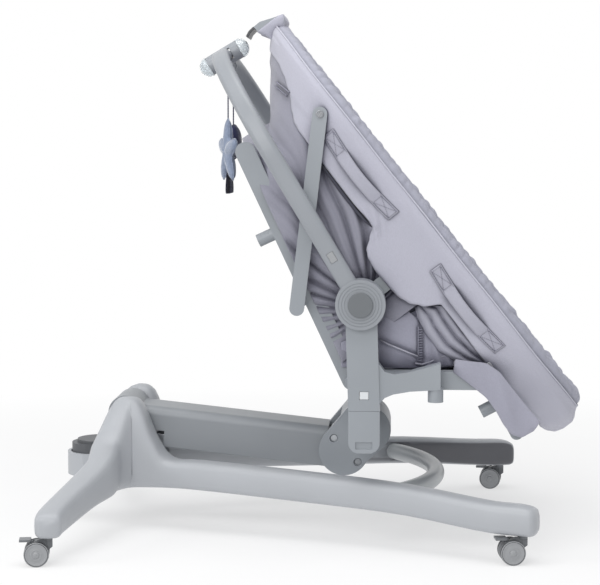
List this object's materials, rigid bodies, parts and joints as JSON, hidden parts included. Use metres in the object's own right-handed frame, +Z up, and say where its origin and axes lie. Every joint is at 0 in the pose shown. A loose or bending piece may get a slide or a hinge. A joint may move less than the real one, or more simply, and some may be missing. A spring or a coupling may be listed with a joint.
{
  "type": "baby swing",
  "caption": "Grey baby swing: wheeled folding base, parallelogram lift arm, fork with reclining oval fabric cradle, toy bar and hanging toys.",
  "frame": {"origin": "middle of the footprint at floor level, on the symmetry plane", "axes": "+X towards the foot end of the seat, +Y towards the child's left side, +Z up"},
  "size_m": [0.9429, 0.7784, 0.9146],
  "materials": {
    "grey_plastic": "satin grey",
    "grey_tube": "satin grey paint",
    "dark_plastic": "matt dark grey",
    "caster_plastic": "matt grey",
    "wheel_rubber": "matt",
    "steel": "zinc plated",
    "lilac_fabric": "fine woven, lilac grey",
    "blue_plush": "short plush, slate blue",
    "navy_plush": "woven, navy",
    "clear_dome": "clear plastic"
  },
  "bodies": {
    "base": {"near_leg": "grey_plastic", "far_leg": "grey_plastic", "hub_base": "grey_plastic", "cross_tube": "grey_tube", "arm_base_pins": "steel", "pedal_housing": "grey_plastic", "pedal_pin": "steel"},
    "pedal": {"foot_pedal": "dark_plastic"},
    "lift_arm": {"arm_shell": "grey_plastic", "upper_link": "steel"},
    "lower_arm_link": {"lower_link": "steel"},
    "carrier": {"carrier_hub": "grey_plastic", "carrier_pins": "steel", "carrier_beam": "grey_plastic", "socket_right": "grey_plastic", "socket_left": "grey_plastic", "upright_right": "grey_plastic", "upright_left": "grey_plastic", "seat_frame": "grey_plastic", "seat_pad": "lilac_fabric"},
    "latch_button_right": {"latch_button_right": "grey_plastic"},
    "latch_button_left": {"latch_button_left": "grey_plastic"},
    "cradle": {"recline_shaft_right": "steel", "recline_shaft_left": "steel", "top_ring": "grey_plastic", "rim_cover": "lilac_fabric", "basket": "lilac_fabric", "carry_handles": "lilac_fabric", "head_block": "grey_plastic", "link_rivets": "steel"},
    "recline_lever": {"recline_lever": "dark_plastic"},
    "side_link_right": {"side_link_right": "grey_plastic"},
    "side_link_left": {"side_link_left": "grey_plastic"},
    "backrest": {"backrest_frame": "grey_plastic", "back_board": "dark_plastic", "back_pad": "lilac_fabric"},
    "leg_rest": {"leg_rest_frame": "grey_plastic", "leg_rest_pad": "lilac_fabric"},
    "toy_bar": {"toy_bar": "grey_plastic", "toy_holder": "grey_plastic", "holder_domes": "clear_dome"},
    "bar_button_right": {"bar_button_right": "grey_plastic"},
    "bar_button_left": {"bar_button_left": "grey_plastic"},
    "star_cord": {"star_cord": "navy_plush"},
    "moon_cord": {"moon_cord": "navy_plush"},
    "star_toy": {"star_toy": "blue_plush"},
    "moon_toy": {"moon_toy": "navy_plush"},
    "caster_rear_right": {"caster_body_rear_right": "caster_plastic"},
    "wheels_rear_right": {"caster_wheels_rear_right": "wheel_rubber"},
    "brake_rear_right": {"caster_brake_rear_right": "caster_plastic"},
    "caster_rear_left": {"caster_body_rear_left": "caster_plastic"},
    "wheels_rear_left": {"caster_wheels_rear_left": "wheel_rubber"},
    "brake_rear_left": {"caster_brake_rear_left": "caster_plastic"},
    "caster_front_right": {"caster_body_front_right": "caster_plastic"},
    "wheels_front_right": {"caster_wheels_front_right": "wheel_rubber"},
    "brake_front_right": {"caster_brake_front_right": "caster_plastic"},
    "caster_front_left": {"caster_body_front_left": "caster_plastic"},
    "wheels_front_left": {"caster_wheels_front_left": "wheel_rubber"},
    "brake_front_left": {"caster_brake_front_left": "caster_plastic"}
  },
  "joints": [
    {"name": "arm_lift", "type": "hinge", "parent": "base", "child": "lift_arm", "pos_m": [-0.3423, 0, 0.203], "axis": [0, -1, 0], "range_deg": [0, 36]},
    {"name": "lower_link_swing", "type": "hinge", "parent": "base", "child": "lower_arm_link", "pos_m": [-0.2993, 0, 0.16], "axis": [0, -1, 0], "range_deg": [0, 36]},
    {"name": "carrier_level", "type": "hinge", "parent": "lift_arm", "child": "carrier", "pos_m": [0.03548, 0, 0.16196], "axis": [0, -1, 0], "range_deg": [-36, 0]},
    {"name": "pedal_press", "type": "hinge", "parent": "base", "child": "pedal", "pos_m": [-0.3923, 0, 0.131], "axis": [0, -1, 0], "range_deg": [0, 8], "stiffness_Nm_per_rad": 1, "springref_deg": -11.46},
    {"name": "swivel_rear_right", "type": "hinge", "parent": "base", "child": "caster_rear_right", "pos_m": [-0.4243, -0.364, 0.04], "axis": [0, 0, 1], "continuous": true},
    {"name": "roll_rear_right", "type": "hinge", "parent": "caster_rear_right", "child": "wheels_rear_right", "pos_m": [-0.44208, -0.36682, 0.0205], "axis": [-0.1564, 0.9877, 0], "continuous": true},
    {"name": "brake_rear_right", "type": "hinge", "parent": "caster_rear_right", "child": "brake_rear_right", "pos_m": [-0.44899, -0.36791, 0.0335], "axis": [0.1564, -0.9877, 0], "range_deg": [0, 10]},
    {"name": "swivel_rear_left", "type": "hinge", "parent": "base", "child": "caster_rear_left", "pos_m": [-0.4243, 0.364, 0.04], "axis": [0, 0, 1], "continuous": true},
    {"name": "roll_rear_left", "type": "hinge", "parent": "caster_rear_left", "child": "wheels_rear_left", "pos_m": [-0.44208, 0.36682, 0.0205], "axis": [0.1564, 0.9877, 0], "continuous": true},
    {"name": "brake_rear_left", "type": "hinge", "parent": "caster_rear_left", "child": "brake_rear_left", "pos_m": [-0.44899, 0.36791, 0.0335], "axis": [-0.1564, -0.9877, 0], "range_deg": [0, 10]},
    {"name": "swivel_front_right", "type": "hinge", "parent": "base", "child": "caster_front_right", "pos_m": [0.3547, -0.313, 0.04], "axis": [0, 0, 1], "continuous": true},
    {"name": "roll_front_right", "type": "hinge", "parent": "caster_front_right", "child": "wheels_front_right", "pos_m": [0.33683, -0.31519, 0.0205], "axis": [-0.1219, 0.9925, 0], "continuous": true},
    {"name": "brake_front_right", "type": "hinge", "parent": "caster_front_right", "child": "brake_front_right", "pos_m": [0.32989, -0.31605, 0.0335], "axis": [0.1219, -0.9925, 0], "range_deg": [0, 10]},
    {"name": "swivel_front_left", "type": "hinge", "parent": "base", "child": "caster_front_left", "pos_m": [0.3547, 0.313, 0.04], "axis": [0, 0, 1], "continuous": true},
    {"name": "roll_front_left", "type": "hinge", "parent": "caster_front_left", "child": "wheels_front_left", "pos_m": [0.33683, 0.31519, 0.0205], "axis": [0.1219, 0.9925, 0], "continuous": true},
    {"name": "brake_front_left", "type": "hinge", "parent": "caster_front_left", "child": "brake_front_left", "pos_m": [0.32989, 0.31605, 0.0335], "axis": [-0.1219, -0.9925, 0], "range_deg": [0, 10]},
    {"name": "latch_press_right", "type": "slide", "parent": "carrier", "child": "latch_button_right", "axis": [0, 1, 0], "range_m": [0, 0.003], "stiffness_N_per_m": 800, "springref_m": -0.002},
    {"name": "latch_press_left", "type": "slide", "parent": "carrier", "child": "latch_button_left", "axis": [0, -1, 0], "range_m": [0, 0.003], "stiffness_N_per_m": 800, "springref_m": -0.002},
    {"name": "recline", "type": "hinge", "parent": "carrier", "child": "cradle", "pos_m": [0.08591, 0, 0.422], "axis": [0, -1, 0], "range_deg": [0, 51.4], "deforming": ["basket"]},
    {"name": "lever_squeeze", "type": "hinge", "parent": "cradle", "child": "recline_lever", "pos_m": [-0.10038, 0, 0.89259], "axis": [0, -1, 0], "range_deg": [0, 14], "stiffness_Nm_per_rad": 0.3, "springref_deg": -11.46},
    {"name": "backrest_fold", "type": "hinge", "parent": "carrier", "child": "backrest", "pos_m": [0.07091, 0, 0.286], "axis": [0, -1, 0], "range_deg": [0, 65]},
    {"name": "leg_rest_fold", "type": "hinge", "parent": "carrier", "child": "leg_rest", "pos_m": [0.30391, 0, 0.286], "axis": [0, -1, 0], "range_deg": [0, 62.1]},
    {"name": "link_swing_right", "type": "hinge", "parent": "cradle", "child": "side_link_right", "pos_m": [0.01674, 0, 0.73786], "axis": [0, -1, 0], "range_deg": [-24.2, 0]},
    {"name": "link_swing_left", "type": "hinge", "parent": "cradle", "child": "side_link_left", "pos_m": [0.01674, 0, 0.73786], "axis": [0, -1, 0], "range_deg": [-24.2, 0]},
    {"name": "toy_bar_tilt", "type": "hinge", "parent": "cradle", "child": "toy_bar", "pos_m": [0.08591, 0, 0.422], "axis": [0, -1, 0], "range_deg": [0, 10]},
    {"name": "bar_button_press_right", "type": "slide", "parent": "toy_bar", "child": "bar_button_right", "axis": [0, 1, 0], "range_m": [0, 0.0025], "stiffness_N_per_m": 600, "springref_m": -0.002},
    {"name": "bar_button_press_left", "type": "slide", "parent": "toy_bar", "child": "bar_button_left", "axis": [0, -1, 0], "range_m": [0, 0.0025], "stiffness_N_per_m": 600, "springref_m": -0.002},
    {"name": "star_cord_swing", "type": "hinge", "parent": "toy_bar", "child": "star_cord", "pos_m": [-0.15457, -0.042, 0.82931], "axis": [0, -1, 0], "range_deg": [-71.5, 0]},
    {"name": "star_swing", "type": "hinge", "parent": "star_cord", "child": "star_toy", "pos_m": [-0.15457, -0.042, 0.73451], "axis": [0, -1, 0], "range_deg": [-40, 4]},
    {"name": "moon_cord_swing", "type": "hinge", "parent": "toy_bar", "child": "moon_cord", "pos_m": [-0.15457, 0.062, 0.82931], "axis": [0, -1, 0], "range_deg": [-71.5, 0]},
    {"name": "moon_swing", "type": "hinge", "parent": "moon_cord", "child": "moon_toy", "pos_m": [-0.15457, 0.062, 0.72451], "axis": [0, -1, 0], "range_deg": [-40, 4]}
  ],
  "couplings": [
    {"joint": "lower_link_swing", "follows": "arm_lift", "ratio": 1},
    {"joint": "carrier_level", "follows": "arm_lift", "ratio": -1},
    {"joint": "backrest_fold", "follows": "recline", "ratio": 1.2626},
    {"joint": "leg_rest_fold", "follows": "recline", "ratio": 1.2062},
    {"joint": "link_swing_right", "follows": "recline", "ratio": -0.4693},
    {"joint": "link_swing_left", "follows": "recline", "ratio": -0.4693},
    {"joint": "star_cord_swing", "follows": "recline", "ratio": -1.39},
    {"joint": "moon_cord_swing", "follows": "recline", "ratio": -1.39}
  ]
}
